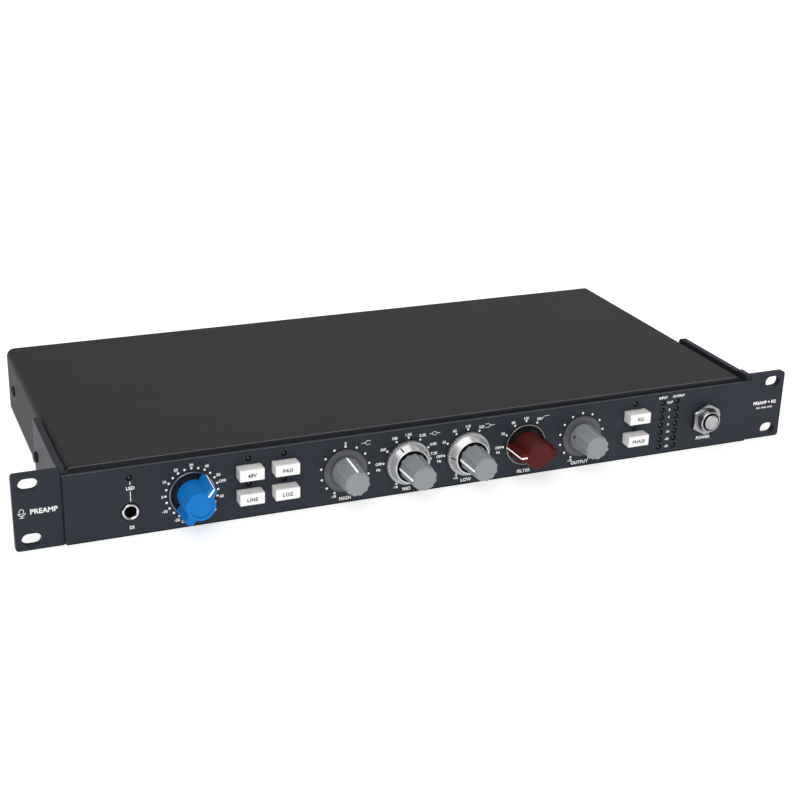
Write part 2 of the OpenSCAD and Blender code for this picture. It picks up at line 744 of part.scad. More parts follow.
module mains_inlet() color([0.10, 0.10, 0.10]) in_unit() translate([inlet_x, 0, rear_z]) {
    difference() {
        union() {
            slab_y(rear_face, rear_face + flange_t) difference() {
                round_rect(inlet_w, inlet_h, 3);
                for (s = [-1, 1]) translate([s * 20, 0]) circle(1.6);
            }
            slab_y(rear_face - 26, rear_face + eps)
                square([inlet_body_w, inlet_h - 2.8], center = true);
        }
        slab_y(rear_face - 15, rear_face + 4) inlet_cavity();
        box([-10.2, rear_face - 23, -12], [10.2, rear_face + 4, -5]);
    }
    for (p = [[-7, 3], [7, 3], [0, 7]])
        box([p[0] - 1, rear_face - 15 - eps, p[1] - 2], [p[0] + 1, rear_face - 1, p[1] + 2]);
}

module fuse_drawer() color([0.14, 0.14, 0.14]) in_unit() translate([inlet_x, 0, rear_z])
    difference() {
        box([-10, rear_face - 21, -11.8], [10, rear_face + flange_t + 0.4, -5.2]);
        box([-8, rear_face - 19, -10], [8, rear_face - 5, -5]);
        box([-2.5, rear_face + flange_t - 1.2, -6.2], [2.5, rear_face + 4, -5]);
    }

module connector_screws() color([0.75, 0.75, 0.76]) in_unit() {
    for (x = [mic_x, output_xlr_x], s = [-1, 1])
        translate([x - s * (xlr_w / 2 - 3.2), rear_face + flange_t + 0.02,
                   rear_z + s * (xlr_h / 2 - 3.4)])
            rotate([-90, 0, 0]) pan_screw(2.4, 0.75, 1.4, 7);
    for (s = [-1, 1]) translate([inlet_x + s * 20, rear_face + flange_t + 0.02, rear_z])
        rotate([-90, 0, 0]) pan_screw(2.4, 0.75, 1.4, 7);
}

chassis_tray();
top_cover();
front_panel();
rear_panel();
rack_ear_left();
rack_ear_right();
side_screws();
rubber_feet();
gain_knob();
gain_skirt();
gain_shaft();
gain_switch();
high_knob();
high_skirt();
high_shaft();
mid_gain_knob();
mid_gain_shaft();
mid_frequency_ring();
low_gain_knob();
low_gain_shaft();
low_frequency_ring();
filter_knob();
filter_skirt();
filter_shaft();
filter_switch();
output_knob();
output_skirt();
output_shaft();
rotary_pots();
dual_controls();
button_48v();
button_pad();
button_line();
button_loz();
button_eq();
button_phase();
button_switches();
status_leds();
meter_leds();
front_boards();
di_jack();
power_button();
power_switch();
power_switch_nut();
main_board();
board_standoffs();
mains_transformer();
input_transformer();
output_transformer();
eq_inductors();
capacitors();
heatsink();
mic_in_xlr();
xlr_latch();
output_xlr();
rear_jacks();
mains_inlet();
fuse_drawer();
connector_screws();
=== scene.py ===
import json
import math

import bmesh
import bpy
from mathutils import Matrix, Vector


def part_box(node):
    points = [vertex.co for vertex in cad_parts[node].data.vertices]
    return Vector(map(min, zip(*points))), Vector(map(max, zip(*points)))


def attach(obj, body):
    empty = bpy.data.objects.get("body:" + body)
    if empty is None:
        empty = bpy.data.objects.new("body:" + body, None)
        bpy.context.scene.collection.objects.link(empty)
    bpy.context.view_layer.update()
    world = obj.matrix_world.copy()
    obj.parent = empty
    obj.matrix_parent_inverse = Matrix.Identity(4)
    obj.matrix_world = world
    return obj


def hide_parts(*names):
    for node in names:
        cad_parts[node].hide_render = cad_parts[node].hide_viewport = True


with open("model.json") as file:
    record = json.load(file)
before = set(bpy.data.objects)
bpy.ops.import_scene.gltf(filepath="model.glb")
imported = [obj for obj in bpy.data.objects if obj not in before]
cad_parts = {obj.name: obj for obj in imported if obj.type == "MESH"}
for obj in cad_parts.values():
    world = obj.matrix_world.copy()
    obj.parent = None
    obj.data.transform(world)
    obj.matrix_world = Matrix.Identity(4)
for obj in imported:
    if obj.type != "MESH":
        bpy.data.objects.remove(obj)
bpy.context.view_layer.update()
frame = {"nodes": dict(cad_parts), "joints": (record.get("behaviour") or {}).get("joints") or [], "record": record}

# Everything is drawn in millimetres with y = 0 on the panel's face, then brought into the frame.
MM = 0.001
SHIFT = Vector((0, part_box("front_panel")[0].y, 0))
TO_FRAME = Matrix.Translation(SHIFT) @ Matrix.Scale(MM, 4)

STAND_UP = Matrix.Rotation(math.radians(90), 4, "X")      # turns an X-Y drawing upright, into X-Z
SIDEWAYS = Matrix.Rotation(math.radians(90), 4, "Z")      # turns depth into width


def mm_box(node):
    """Lowest and highest corner of a CAD node, in millimetres from the panel's face."""
    lo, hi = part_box(node)
    return (lo - SHIFT) / MM, (hi - SHIFT) / MM


def middle(node):
    lo, hi = mm_box(node)
    return (lo + hi) / 2


PIVOT = {j["child"]: (Vector(j["pos_m"]) - SHIFT) / MM for j in frame["joints"] if j["type"] == "hinge"}
CONTROL_Z = PIVOT["gain"].z

# Where each pointer stands at rest, in degrees clockwise from the top
REST = {"gain": 38, "high": 0, "mid_gain": -90, "low_gain": -90, "filter": -90, "output": 105,
        "mid_frequency": -30, "low_frequency": -90}


# ---- materials ---------------------------------------------------------------------------------

MATERIAL = {}
NOISE_LOW, NOISE_HIGH = 0.3, 0.7      # most of a noise texture lies between these


def srgb(r, g, b):
    """Linear colour of an sRGB triple from 0 to 255."""
    def linear(v):
        v /= 255
        return v / 12.92 if v <= 0.04045 else ((v + 0.055) / 1.055) ** 2.4
    return linear(r), linear(g), linear(b)


def surface(name, colour, rough, metallic=0.0, grain=(2500, 0.02), mottle=(60, 0.08), rough_spread=0.06,
            specular=0.5, anisotropic=0.0, voronoi=False):
    """Adds a procedural finish to MATERIAL. grain is (scale per metre, depth in mm) of the fine bump,
    and mottle is (scale per metre, share) of the slow change of colour and roughness."""
    mat = bpy.data.materials.new(name)
    mat.use_nodes = True
    nodes, links = mat.node_tree.nodes, mat.node_tree.links
    bsdf = nodes["Principled BSDF"]
    coords = nodes.new("ShaderNodeTexCoord").outputs["Object"]

    broad = nodes.new("ShaderNodeTexNoise")
    broad.inputs["Scale"].default_value = mottle[0]
    broad.inputs["Detail"].default_value = 4
    links.new(coords, broad.inputs["Vector"])

    ramp = nodes.new("ShaderNodeValToRGB")
    darkest, lightest = ramp.color_ramp.elements
    darkest.position = NOISE_LOW
    lightest.position = NOISE_HIGH
    darkest.color = [c * (1 - mottle[1]) for c in colour] + [1]
    lightest.color = [min(1, c * (1 + mottle[1])) for c in colour] + [1]
    links.new(broad.outputs["Fac"], ramp.inputs["Fac"])
    links.new(ramp.outputs["Color"], bsdf.inputs["Base Color"])

    spread = nodes.new("ShaderNodeMapRange")
    spread.inputs["From Min"].default_value = NOISE_LOW
    spread.inputs["From Max"].default_value = NOISE_HIGH
    spread.inputs["To Min"].default_value = max(0.02, rough - rough_spread)
    spread.inputs["To Max"].default_value = min(1, rough + rough_spread)
    links.new(broad.outputs["Fac"], spread.inputs["Value"])
    links.new(spread.outputs["Result"], bsdf.inputs["Roughness"])

    if voronoi:
        fine = nodes.new("ShaderNodeTexVoronoi")
        height = fine.outputs["Distance"]
    else:
        fine = nodes.new("ShaderNodeTexNoise")
        fine.inputs["Detail"].default_value = 2
        height = fine.outputs["Fac"]
    fine.inputs["Scale"].default_value = grain[0]
    links.new(coords, fine.inputs["Vector"])
    bump = nodes.new("ShaderNodeBump")
    bump.inputs["Strength"].default_value = 1
    bump.inputs["Distance"].default_value = grain[1] * MM
    links.new(height, bump.inputs["Height"])
    links.new(bump.outputs["Normal"], bsdf.inputs["Normal"])

    bsdf.inputs["Metallic"].default_value = metallic
    bsdf.inputs["Specular IOR Level"].default_value = specular
    if anisotropic:
        bsdf.inputs["Anisotropic"].default_value = anisotropic
        tangent = nodes.new("ShaderNodeTangent")
        tangent.direction_type = "RADIAL"
        tangent.axis = "Y"
        links.new(tangent.outputs["Tangent"], bsdf.inputs["Tangent"])
    MATERIAL[name] = mat


def lift(name, strength):
    """Gives a light finish a little glow of its own, so that it stays white where it is shaded."""
    bsdf = MATERIAL[name].node_tree.nodes["Principled BSDF"]
    bsdf.inputs["Emission Color"].default_value = (1, 1, 1, 1)
    bsdf.inputs["Emission Strength"].default_value = strength


def make_paints():
    """Coatings of the case, the panel and the ears, and the printing on them."""
    surface("case_black", srgb(47, 44, 45), 0.62, grain=(1900, 0.04), mottle=(25, 0.025),
            rough_spread=0.02, specular=0.2)
    # The next finish is a lighter copy of the case paint: a painted highlight on the cover's front edge.
    surface("case_edge_painted_highlight", srgb(122, 119, 122), 0.5, grain=(1900, 0.02), mottle=(25, 0.05), specular=0.3)
    # The next finish is a lighter copy of the panel paint: a painted highlight on the panel's top edge.
    surface("panel_edge_painted_highlight", srgb(88, 91, 97), 0.45, grain=(3200, 0.012), mottle=(30, 0.02), specular=0.3)
    surface("panel_blue_grey", srgb(37, 43, 51), 0.5, grain=(3200, 0.012), mottle=(30, 0.02),
            rough_spread=0.02, specular=0.2)
    surface("ear_blue_grey", srgb(37, 42, 50), 0.5, grain=(2400, 0.03), mottle=(40, 0.03),
            rough_spread=0.02, specular=0.2)
    surface("tray_blue_grey", srgb(21, 24, 31), 0.5, grain=(3200, 0.012), mottle=(30, 0.03), specular=0.15)
    surface("ink_white", srgb(236, 236, 234), 0.55, grain=(4000, 0.004), mottle=(400, 0.03))
    surface("ink_dark", srgb(44, 44, 46), 0.5, grain=(4000, 0.004), mottle=(400, 0.05))
    surface("mark_white", (0.95, 0.95, 0.95), 0.4, grain=(4000, 0.004), mottle=(400, 0.01))
    # The white marks glow a little: painted light, so that they stay white where the knobs shade them.
    lift("mark_white", 0.3)


def make_plastics():
    """Knobs, caps, lights and the plastic and rubber parts."""
    surface("knob_blue", (0.003, 0.175, 0.53), 0.4, grain=(3500, 0.006), mottle=(300, 0.05), specular=0.15)
    surface("knob_red", (0.075, 0.008, 0.007), 0.4, grain=(3500, 0.006), mottle=(300, 0.06), specular=0.15)
    surface("knob_grey", srgb(134, 140, 144), 0.42, grain=(3500, 0.006), mottle=(300, 0.04), specular=0.35)
    surface("skirt_grey", srgb(82, 82, 87), 0.36, grain=(3500, 0.005), mottle=(300, 0.05))
    surface("skirt_black", (0.010, 0.010, 0.011), 0.25, grain=(2500, 0.003))
    surface("button_white", srgb(242, 240, 239), 0.30, grain=(3000, 0.003), mottle=(200, 0.015))
    surface("led_clear", (0.012, 0.012, 0.013), 0.15, grain=(2000, 0.002))
    surface("led_red", (0.030, 0.003, 0.003), 0.15, grain=(2000, 0.002))
    surface("led_green", (0.009, 0.011, 0.009), 0.15, grain=(2000, 0.002))
    surface("plastic_black", (0.022, 0.022, 0.023), 0.48, grain=(2500, 0.015))
    surface("hole_black", (0.006, 0.006, 0.006), 0.6, grain=(2500, 0.01))
    surface("rubber_black", (0.018, 0.018, 0.018), 0.85, grain=(1500, 0.05), specular=0.3)
    surface("board_green", (0.015, 0.10, 0.04), 0.35, grain=(900, 0.02), voronoi=True)
    surface("capacitor_blue", (0.02, 0.05, 0.20), 0.3, grain=(2500, 0.006))


def make_metals():
    """Turned, plated and cast metal, and the transformers."""
    surface("screw_black", (0.02, 0.02, 0.022), 0.35, 0.6, grain=(5000, 0.006))
    surface("skirt_rim", (0.26, 0.26, 0.265), 0.24, 1.0, grain=(6000, 0.004), anisotropic=0.5)
    surface("ring_metal", (0.82, 0.82, 0.83), 0.20, 0.64, grain=(7000, 0.002), rough_spread=0.03,
            anisotropic=0.5)
    surface("knurl_metal", (0.52, 0.52, 0.53), 0.30, 0.7, grain=(6000, 0.006))
    # Near-black: painted shade in the valleys of the knurl and in the ring's recess.
    surface("ring_painted_shade", (0.06, 0.06, 0.062), 0.5, 0.5, grain=(6000, 0.006))
    surface("shaft_steel", (0.55, 0.55, 0.56), 0.28, 1.0, grain=(6000, 0.004))
    surface("jack_metal", (0.66, 0.66, 0.67), 0.16, 1.0, grain=(6000, 0.003))
    surface("steel_bright", (0.42, 0.42, 0.43), 0.30, 1.0, grain=(6000, 0.004), anisotropic=0.85)
    surface("nut_chrome", (0.36, 0.36, 0.37), 0.18, 1.0, grain=(4000, 0.004))
    surface("connector_nickel", (0.33, 0.33, 0.34), 0.36, 1.0, grain=(3000, 0.012))
    surface("brass_plated", (0.72, 0.58, 0.32), 0.28, 1.0)
    surface("winding_amber", (0.50, 0.34, 0.07), 0.35, grain=(700, 0.08))
    surface("can_steel", (0.50, 0.51, 0.53), 0.32, 1.0, grain=(5000, 0.006))
    surface("core_dark", (0.07, 0.07, 0.075), 0.5, 0.5, grain=(1500, 0.03))
    surface("heatsink_alu", (0.52, 0.53, 0.54), 0.38, 1.0, grain=(3000, 0.01))


# ---- outlines ----------------------------------------------------------------------------------

def arc(cx, cz, r, start, end, count):
    """Points on an arc, angles in degrees counter-clockwise from +X."""
    return [(cx + r * math.cos(math.radians(start + (end - start) * k / count)),
             cz + r * math.sin(math.radians(start + (end - start) * k / count))) for k in range(count + 1)]


def circle(cx, cz, r, count=48):
    return arc(cx, cz, r, 0, 360, count)[:-1]


def fillet(points, radii, closed=True, count=6):
    """The polygon with each corner rounded to its radius; 0 keeps a corner."""
    out = []
    total = len(points)
    for k, point in enumerate(points):
        r = radii[k] if isinstance(radii, (list, tuple)) else radii
        if not r or (not closed and k in (0, total - 1)):
            out.append(tuple(point))
            continue
        p = Vector(point)
        to_last = (Vector(points[k - 1]) - p).normalized()
        to_next = (Vector(points[(k + 1) % total]) - p).normalized()
        half = to_last.angle(to_next) / 2
        start = p + to_last * (r / math.tan(half))
        centre = p + (to_last + to_next).normalized() * (r / math.sin(half))
        first_spoke = start - centre
        last_spoke = p + to_next * (r / math.tan(half)) - centre
        turn = first_spoke.angle_signed(last_spoke)
        for s in range(count + 1):
            spoke = first_spoke.copy()
            spoke.rotate(Matrix.Rotation(-turn * s / count, 2))
            out.append(tuple(centre + spoke))
    return out


def box_outline(cx, cz, w, h, r):
    """A rectangle with rounded corners."""
    left, right, low, top = cx - w / 2, cx + w / 2, cz - h / 2, cz + h / 2
    return fillet([(left, low), (right, low), (right, top), (left, top)], r)


def slot_outline(cx, cz, length, height):
    r, half = height / 2, (length - height) / 2
    return arc(cx + half, cz, r, -90, 90, 16) + arc(cx - half, cz, r, 90, 270, 16)


# ---- meshes ------------------------------------------------------------------------------------

def from_object(obj):
    """The evaluated mesh of a temporary object, as a bmesh; the object is removed."""
    if obj.name not in bpy.context.scene.collection.objects:
        bpy.context.scene.collection.objects.link(obj)
    graph = bpy.context.evaluated_depsgraph_get()
    mesh = bpy.data.meshes.new_from_object(obj.evaluated_get(graph), depsgraph=graph)
    bm = bmesh.new()
    bm.from_mesh(mesh)
    bpy.data.meshes.remove(mesh)
    data = obj.data
    bpy.data.objects.remove(obj)
    if data.users == 0:
        (bpy.data.curves if isinstance(data, bpy.types.Curve) else bpy.data.meshes).remove(data)
    return bm


def placed(bm, place):
    bmesh.ops.transform(bm, matrix=place, verts=bm.verts)
    return bm


def moved(bm, x=0.0, y=0.0, z=0.0, turn=0.0):
    """Turns a mesh clockwise about the Y axis, as seen from the front, then shifts it."""
    return placed(bm, Matrix.Translation((x, y, z)) @ Matrix.Rotation(math.radians(turn), 4, "Y"))


def welded(bm):
    bmesh.ops.remove_doubles(bm, verts=bm.verts, dist=1e-4)
    return bm


def plate(loops, y0, y1, bevel=0.2, steps=2):
    """A flat plate between depths y0 and y1 with rounded edges; the loops after the first are holes."""
    curve = bpy.data.curves.new("outline", "CURVE")
    curve.dimensions = "2D"
    curve.fill_mode = "BOTH"
    for loop in loops:
        spline = curve.splines.new("POLY")
        spline.points.add(len(loop) - 1)
        for point, (x, z) in zip(spline.points, loop):
            point.co = (x, z, 0, 1)
        spline.use_cyclic_u = True
    curve.extrude = (y1 - y0) / 2 - bevel
    curve.bevel_depth = bevel
    curve.bevel_resolution = steps
    curve.offset = -bevel
    bm = welded(from_object(bpy.data.objects.new("outline", curve)))
    placed(bm, Matrix.Translation((0, (y0 + y1) / 2, 0)) @ STAND_UP)
    bmesh.ops.recalc_face_normals(bm, faces=bm.faces)
    return bm


def lathe(profile, steps=96, closed=False, ripple=None):
    """A profile of (radius, y) turned about the Y axis. ripple(angle, radius, y) is added to the radius."""
    bm = bmesh.new()
    rings = []
    for r, y in profile:
        if r < 1e-6:
            rings.append([bm.verts.new((0, y, 0))])
            continue
        ring = []
        for k in range(steps):
            a = 2 * math.pi * k / steps
            rr = r + (ripple(a, r, y) if ripple else 0)
            ring.append(bm.verts.new((rr * math.sin(a), y, rr * math.cos(a))))
        rings.append(ring)
    pairs = list(zip(rings, rings[1:]))
    if closed:
        pairs.append((rings[-1], rings[0]))
    for one, two in pairs:
        for k in range(steps):
            corners = [one[k % len(one)], one[(k + 1) % len(one)],
                       two[(k + 1) % len(two)], two[k % len(two)]]
            unique = list(dict.fromkeys(corners))
            if len(unique) > 2:
                bm.faces.new(unique)
    bmesh.ops.recalc_face_normals(bm, faces=bm.faces)
    return bm


def block(a, b, bevel=0.0, steps=3):
    """A box between two corners; bevel rounds its edges."""
    bm = bmesh.new()
    bmesh.ops.create_cube(bm, size=1)
    a, b = Vector(a), Vector(b)
    size = b - a
    placed(bm, Matrix.Translation((a + b) / 2) @ Matrix.Diagonal((size.x, size.y, size.z, 1)))
    if bevel:
        bmesh.ops.bevel(bm, geom=list(bm.edges), offset=bevel, segments=steps, profile=0.5, affect="EDGES")
    return bm


def ribbon(path, width, thickness):
    """A flat strip of that width along a path of (y, z) points, with its outer face on the path."""
    bm = bmesh.new()
    rows = []
    for k, (y, z) in enumerate(path):
        before = Vector(path[max(k - 1, 0)])
        after = Vector(path[min(k + 1, len(path) - 1)])
        along = (after - before).normalized()
        inward = Vector((along.y, -along.x))
        if inward.y > 0 and abs(along.x) > abs(along.y):
            inward = -inward
        row = []
        for x, depth in ((-width / 2, 0), (width / 2, 0), (width / 2, thickness), (-width / 2, thickness)):
            p = Vector((y, z)) + inward * depth
            row.append(bm.verts.new((x, p.x, p.y)))
        rows.append(row)
    for one, two in zip(rows, rows[1:]):
        for k in range(4):
            bm.faces.new((one[k], one[(k + 1) % 4], two[(k + 1) % 4], two[k]))
    bm.faces.new(rows[0])
    bm.faces.new(rows[-1])
    bmesh.ops.recalc_face_normals(bm, faces=bm.faces)
    return bm


def combined(*parts):
    """One mesh of several (mesh, material number) parts; None keeps a part's own numbers."""
    whole = bmesh.new()
    for part, number in parts:
        for face in part.faces if number is not None else ():
            face.material_index = number
        mesh = bpy.data.meshes.new("part")
        part.to_mesh(mesh)
        part.free()
        whole.from_mesh(mesh)
        bpy.data.meshes.remove(mesh)
    return whole


def solid(bm):
    """A temporary object of a bmesh, for a boolean."""
    mesh = bpy.data.meshes.new("solid")
    bm.to_mesh(mesh)
    bm.free()
    obj = bpy.data.objects.new("solid", mesh)
    bpy.context.scene.collection.objects.link(obj)
    return obj


def carved(bm, cutter, operation="DIFFERENCE"):
    """The mesh with the cutter taken away, or with INTERSECT only what lies inside it."""
    target, tool = solid(bm), solid(cutter)
    change = target.modifiers.new("cut", "BOOLEAN")
    change.operation = operation
    change.solver = "EXACT"
    change.object = tool
    out = from_object(target)
    mesh = tool.data
    bpy.data.objects.remove(tool)
    bpy.data.meshes.remove(mesh)
    return out


def piece(name, bm, body, materials, stands_for=(), smooth=32):
    """Makes a mesh a finished piece that rides on a body. Edges sharper than smooth degrees stay sharp."""
    mesh = bpy.data.meshes.new(name)
    bm.to_mesh(mesh)
    bm.free()
    mesh.transform(TO_FRAME)
    mesh.polygons.foreach_set("use_smooth", [True] * len(mesh.polygons))
    mesh.set_sharp_from_angle(angle=math.radians(smooth))
    for material in materials:
        mesh.materials.append(MATERIAL[material])
    obj = bpy.data.objects.new(name, mesh)
    bpy.context.scene.collection.objects.link(obj)
    flatten = obj.modifiers.new("flat faces", "WEIGHTED_NORMAL")
    flatten.keep_sharp = True
    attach(obj, body)
    if stands_for:
        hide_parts(*stands_for)


# ---- printed lettering -------------------------------------------------------------------------

INK = 0.03           # how far the print stands off its surface
CAP_SHARE = 0.73     # capital height over the font's size
DOT_R = 14.7         # radius of the circle of dots round a control
NUMBER_H = 1.7       # height of the numbers round a control
LETTER_SHARE = 0.36  # half a letter's width over its height


def word(text, x, z, height, y=0.0, weight=0.07, spacing=1.0):
    """A printed word with that capital height, centred at x and z; weight thickens its strokes."""
    curve = bpy.data.curves.new("word", "FONT")
    curve.body = text
    curve.size = height / CAP_SHARE
    curve.extrude = INK
    curve.offset = weight
    curve.space_character = spacing
    curve.resolution_u = 4
    bm = welded(from_object(bpy.data.objects.new("word", curve)))
    lo = Vector((min(v.co.x for v in bm.verts), min(v.co.y for v in bm.verts), 0))
    hi = Vector((max(v.co.x for v in bm.verts), max(v.co.y for v in bm.verts), 0))
    centre = (lo + hi) / 2
    return placed(bm, Matrix.Translation((x - centre.x, y, z - centre.y)) @ STAND_UP)


def line(points, width, y=0.0, closed=False):
    """A printed line along X-Z points."""
    curve = bpy.data.curves.new("line", "CURVE")
    curve.dimensions = "3D"
    spline = curve.splines.new("POLY")
    spline.points.add(len(points) - 1)
    for point, (x, z) in zip(spline.points, points):
        point.co = (x, 0, z, 1)
    spline.use_cyclic_u = closed
    curve.bevel_depth = width / 2
    curve.bevel_resolution = 1
    curve.use_fill_caps = True
    bm = welded(from_object(bpy.data.objects.new("line", curve)))
    return placed(bm, Matrix.Translation((0, y, 0)) @ Matrix.Diagonal((1, 2 * INK / width, 1, 1)))


def dot(x, z, r=0.7):
    return moved(lathe([(0, -INK), (r, -INK), (r, INK), (0, INK)], steps=16), x, 0, z)


def polar(x, z, r, angle):
    """The point at a radius and a clockwise angle from the top, round x and z."""
    return x + r * math.sin(math.radians(angle)), z + r * math.cos(math.radians(angle))


def scale(x, angles, labels):
    """The dots round a control and the numbers beside them."""
    parts = [dot(*polar(x, CONTROL_Z, DOT_R, a)) for a in angles]
    for angle, text in labels.items():
        dx, dz = polar(x, CONTROL_Z, DOT_R, angle)
        half = LETTER_SHARE * NUMBER_H * len(text) + 0.1
        s, c = math.sin(math.radians(angle)), math.cos(math.radians(angle))
        reach = 1.0 + half * abs(s) + NUMBER_H / 2 * abs(c)
        parts.append(word(text, dx + s * reach, dz + c * reach, NUMBER_H))
    return parts


# ---- sheet metal -------------------------------------------------------------------------------

PANEL_LO, PANEL_HI = mm_box("front_panel")
CAP_TEXT = {"button_48v": "48V", "button_pad": "PAD", "button_line": "LINE", "button_loz": "LOZ",
            "button_eq": "EQ", "button_phase": "PHASE"}
CAPS = {node: middle(node) for node in CAP_TEXT}
CAP_W, CAP_H = 14.2, 6.9
CAP_GAP = 0.45
HOLE_EDGE_R = 0.22
PANEL_EDGE_R = 0.8
LED_HOLE_R = 1.75
LED_R = 1.5
JACK = middle("di_jack")
POWER = middle("power_switch_nut")


def status_places():
    """Centres of the lights over the buttons and over the jack."""
    places = []
    for cap in CAPS.values():
        lift = 7.2 if cap.z > CONTROL_Z else 6.5
        places.append((cap.x, cap.z + lift))
    places.append((JACK.x, 34.4))
    return places


def meter_places():
    """Centres of the meter's lights, column by column from the bottom up."""
    lo, hi = mm_box("meter_leds")
    step = (hi.z - lo.z - 2 * LED_R) / 6
    return [(x, lo.z + LED_R + k * step) for x in (lo.x + LED_R, hi.x - LED_R) for k in range(7)]


def soften_outline(bm, lo, hi, old, new):
    """Widens the round of a plate's outer front edge from one radius to another."""
    for v in bm.verts:
        depth = v.co.y - lo.y
        if depth > old + 0.01:
            continue
        for axis in (0, 2):
            for wall, inward in ((lo[axis], 1), (hi[axis], -1)):
                inset = (v.co[axis] - wall) * inward
                if inset < old + 0.01:
                    v.co[axis] = wall + inward * inset * new / old
                    v.co.y = lo.y + depth * new / old


def make_front_panel():
    lo, hi = PANEL_LO, PANEL_HI
    outline = box_outline((lo.x + hi.x) / 2, (lo.z + hi.z) / 2, hi.x - lo.x, hi.z - lo.z, 1.2)
    loops = [outline]
    loops += [circle(PIVOT[b].x, CONTROL_Z, 4.8) for b in ("gain", "high", "filter", "output")]
    loops += [circle(PIVOT[b].x, CONTROL_Z, 5.4) for b in ("mid_gain", "low_gain")]
    loops += [box_outline(c.x, c.z, CAP_W + 2 * CAP_GAP, CAP_H + 2 * CAP_GAP, 0.5) for c in CAPS.values()]
    loops += [circle(x, z, LED_HOLE_R, 24) for x, z in status_places() + meter_places()]
    loops += [circle(JACK.x, JACK.z, 5.3), circle(POWER.x, POWER.z, 8.1)]
    sheet = plate(loops, lo.y, hi.y, HOLE_EDGE_R, 3)
    soften_outline(sheet, lo, hi, HOLE_EDGE_R, PANEL_EDGE_R)
    # The rounded top edge gets the lighter copy of the panel paint: a painted highlight.
    for face in sheet.faces:
        mid = face.calc_center_median()
        if hi.z - PANEL_EDGE_R < mid.z < hi.z - 0.1 * PANEL_EDGE_R and mid.y > lo.y + 0.01:
            face.material_index = 1
    piece("panel_plate", sheet, "root", ["panel_blue_grey", "panel_edge_painted_highlight"],
          ["front_panel"])


def make_cover():
    lo, hi = mm_box("top_cover")
    sheet, bend = 1.2, 5.0
    outline = [(lo.x, lo.z), (lo.x, hi.z), (hi.x, hi.z), (hi.x, lo.z),
               (hi.x - sheet, lo.z), (hi.x - sheet, hi.z - sheet), (lo.x + sheet, hi.z - sheet),
               (lo.x + sheet, lo.z)]
    radii = [0, bend, bend, 0, 0, bend - sheet, bend - sheet, 0]
    shell = plate([fillet(outline, radii, count=10)], lo.y, hi.y, 0.45, 3)
    # Faces of the front edge get the lighter copy of the case paint: a painted highlight.
    for face in shell.faces:
        if face.calc_center_median().y < lo.y + 0.44:
            face.material_index = 1
    piece("cover_shell", shell, "root", ["case_black", "case_edge_painted_highlight"], ["top_cover"])


MOUNTS = {m["name"]: m for m in frame["record"]["mounts"]}
SLOTS = MOUNTS["rack_slots"]["dims"]
RAIL_FACE = (Vector(MOUNTS["rail_face_left"]["pos_m"]) - SHIFT) / MM


def make_ear(side):
    """The slotted front plate of an ear, its corner block and its flange."""
    node = "rack_ear_left" if side < 0 else "rack_ear_right"
    lo, hi = mm_box(node)
    flange_in, flange_out, plate_in = 213.1, 216.9, 215.8
    front, back = lo.y, RAIL_FACE.y
    outer = max(abs(lo.x), abs(hi.x))
    height = hi.z
    centre, width = side * (plate_in + outer) / 2, outer - plate_in
    corner = [(side * plate_in, 0), (side * outer, 0), (side * outer, height), (side * plate_in, height)]
    loops = [fillet(corner, [0.3, 2.0, 2.0, 0.3])]
    for k in (-1, 1):
        x, z = side * SLOTS["spacing_x_mm"] / 2, height / 2 + k * SLOTS["spacing_y_mm"] / 2
        loops.append(slot_outline(x, z, SLOTS["slot_length_mm"], 2 * SLOTS["hole_r_mm"]))
    face = plate(loops, front, back, 0.3, 3)
    # the flange's side outline, drawn in depth and height and then turned sideways
    low, top, step_y, rear = 1.0, height - 1.0, 13.0, hi.y
    side_view = [(front + 0.9, 0), (step_y, 0), (step_y + 0.8, low), (rear, low), (rear, top),
                 (step_y + 0.8, top), (step_y, height), (front + 0.9, height)]
    side_outline = fillet(side_view, [0.3, 0.4, 0.4, 3, 3, 0.4, 0.4, 0.3])
    flange = placed(plate([side_outline], 0, flange_out - flange_in, 0.3, 3), SIDEWAYS)
    moved(flange, x=flange_out if side > 0 else -flange_in)
    piece("ear_plate_left" if side < 0 else "ear_plate_right", combined((face, 0), (flange, 0)), "root",
          ["ear_blue_grey"], [node])


# ---- knobs and rings ---------------------------------------------------------------------------

FLUTES = 11
KNOB_BASE_R, KNOB_FRONT_R = 8.5, 7.4
SHAFT_R = 3.02
MARK_W = 1.2


